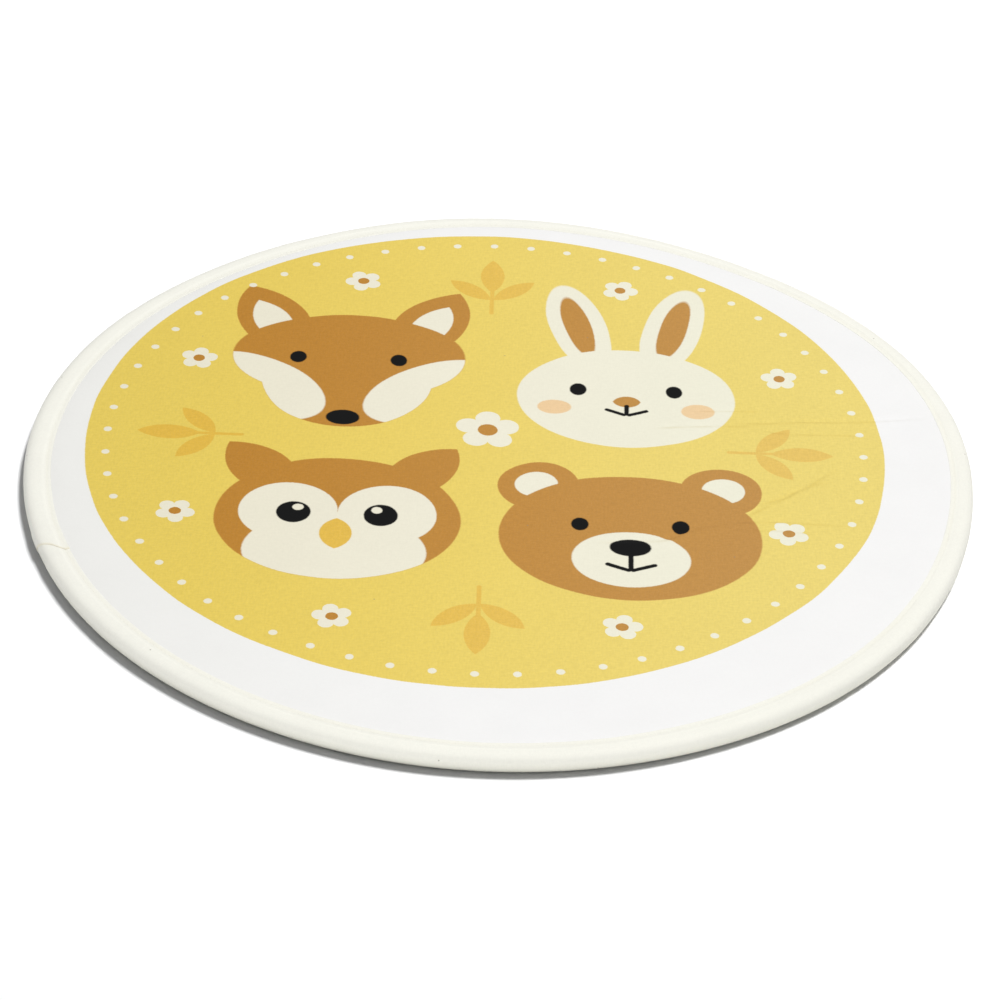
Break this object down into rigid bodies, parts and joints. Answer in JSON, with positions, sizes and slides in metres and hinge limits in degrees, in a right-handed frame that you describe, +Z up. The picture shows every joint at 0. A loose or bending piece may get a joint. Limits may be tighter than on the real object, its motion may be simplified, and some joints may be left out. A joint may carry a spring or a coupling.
{
  "type": "round padded floor mat",
  "caption": "Thin round foam-filled floor mat with a printed cloth face and a padded strip of binding sewn round its edge; it lies flat on a floor.",
  "frame": {"origin": "centre of the mat on the floor it lies on", "axes": "+Z up, square to the face; +X to the right and +Y away from the viewer as the print is read"},
  "size_m": [0.6, 0.6019, 0.0136],
  "materials": {
    "face_cloth": "printed, short soft nap: mustard yellow, cream, tan and near-black on a white ground",
    "binding_cloth": "plain ivory, fine close weave"
  },
  "bodies": {
    "root": {"pad": "face_cloth", "binding": "binding_cloth"}
  },
  "joints": []
}
